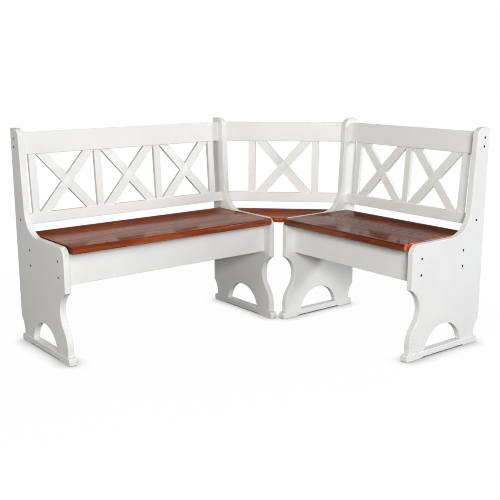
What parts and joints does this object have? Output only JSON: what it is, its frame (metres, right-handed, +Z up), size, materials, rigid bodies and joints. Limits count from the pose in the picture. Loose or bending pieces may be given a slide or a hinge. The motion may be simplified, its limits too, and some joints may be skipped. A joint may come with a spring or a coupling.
{
  "type": "corner storage bench",
  "caption": "Corner dining bench with curved end panels, cross-braced slatted backs, hinged seat lids over storage boxes and a fixed triangular corner seat.",
  "frame": {"origin": "middle of the footprint, on the floor", "axes": "+Z up; the long bench runs along X with its back to +Y, the short bench runs along Y with its back to +X, and the seats face -Y and -X"},
  "size_m": [1.426, 1.161, 0.85],
  "materials": {
    "white_paint": "satin white paint on pine",
    "stained_pine": "glossy reddish-brown stain and varnish",
    "bare_wood": "plain unpainted wood",
    "hinge_steel": "zinc plated",
    "zinc_steel": "zinc plated"
  },
  "bodies": {
    "frame": {"barrel_nuts": "zinc_steel", "corner_brace_1_falling": "white_paint", "corner_brace_1_rising": "white_paint", "corner_lower_rail": "white_paint", "corner_seat": "stained_pine", "corner_seat_cleats": "bare_wood", "corner_stile_1": "white_paint", "corner_stile_2": "white_paint", "corner_top_rail": "white_paint", "foot_screws": "zinc_steel", "frame_screws": "zinc_steel", "long_box_floor": "bare_wood", "long_brace_1_falling": "white_paint", "long_brace_1_rising": "white_paint", "long_brace_2_falling": "white_paint", "long_brace_2_rising": "white_paint", "long_brace_3_falling": "white_paint", "long_brace_3_rising": "white_paint", "long_end_foot": "white_paint", "long_end_panel": "white_paint", "long_floor_cleats": "bare_wood", "long_front_apron": "white_paint", "long_hinge_fixed_leaves": "hinge_steel", "long_hinge_pins": "hinge_steel", "long_inner_foot": "white_paint", "long_inner_panel": "white_paint", "long_lower_rail": "white_paint", "long_rear_apron": "white_paint", "long_stile_1": "white_paint", "long_stile_2": "white_paint", "long_stile_3": "white_paint", "long_stile_4": "white_paint", "long_top_rail": "white_paint", "panel_bolts": "zinc_steel", "short_box_floor": "bare_wood", "short_brace_1_falling": "white_paint", "short_brace_1_rising": "white_paint", "short_brace_2_falling": "white_paint", "short_brace_2_rising": "white_paint", "short_end_foot": "white_paint", "short_end_panel": "white_paint", "short_floor_cleats": "bare_wood", "short_front_apron": "white_paint", "short_hinge_fixed_leaves": "hinge_steel", "short_hinge_pins": "hinge_steel", "short_inner_foot": "white_paint", "short_inner_panel": "white_paint", "short_lower_rail": "white_paint", "short_rear_apron": "white_paint", "short_stile_1": "white_paint", "short_stile_2": "white_paint", "short_stile_3": "white_paint", "short_top_rail": "white_paint"},
    "long_lid_body": {"long_lid": "stained_pine", "long_hinge_lid_leaves": "hinge_steel"},
    "short_lid_body": {"short_lid": "stained_pine", "short_hinge_lid_leaves": "hinge_steel"}
  },
  "joints": [
    {"name": "long_lid_hinge", "type": "hinge", "parent": "frame", "child": "long_lid_body", "pos_m": [-0.215, 0.4758, 0.4157], "axis": [-1, 0, 0], "range_deg": [0, 96]},
    {"name": "short_lid_hinge", "type": "hinge", "parent": "frame", "child": "short_lid_body", "pos_m": [0.6083, -0.215, 0.4157], "axis": [0, 1, 0], "range_deg": [0, 96]}
  ]
}
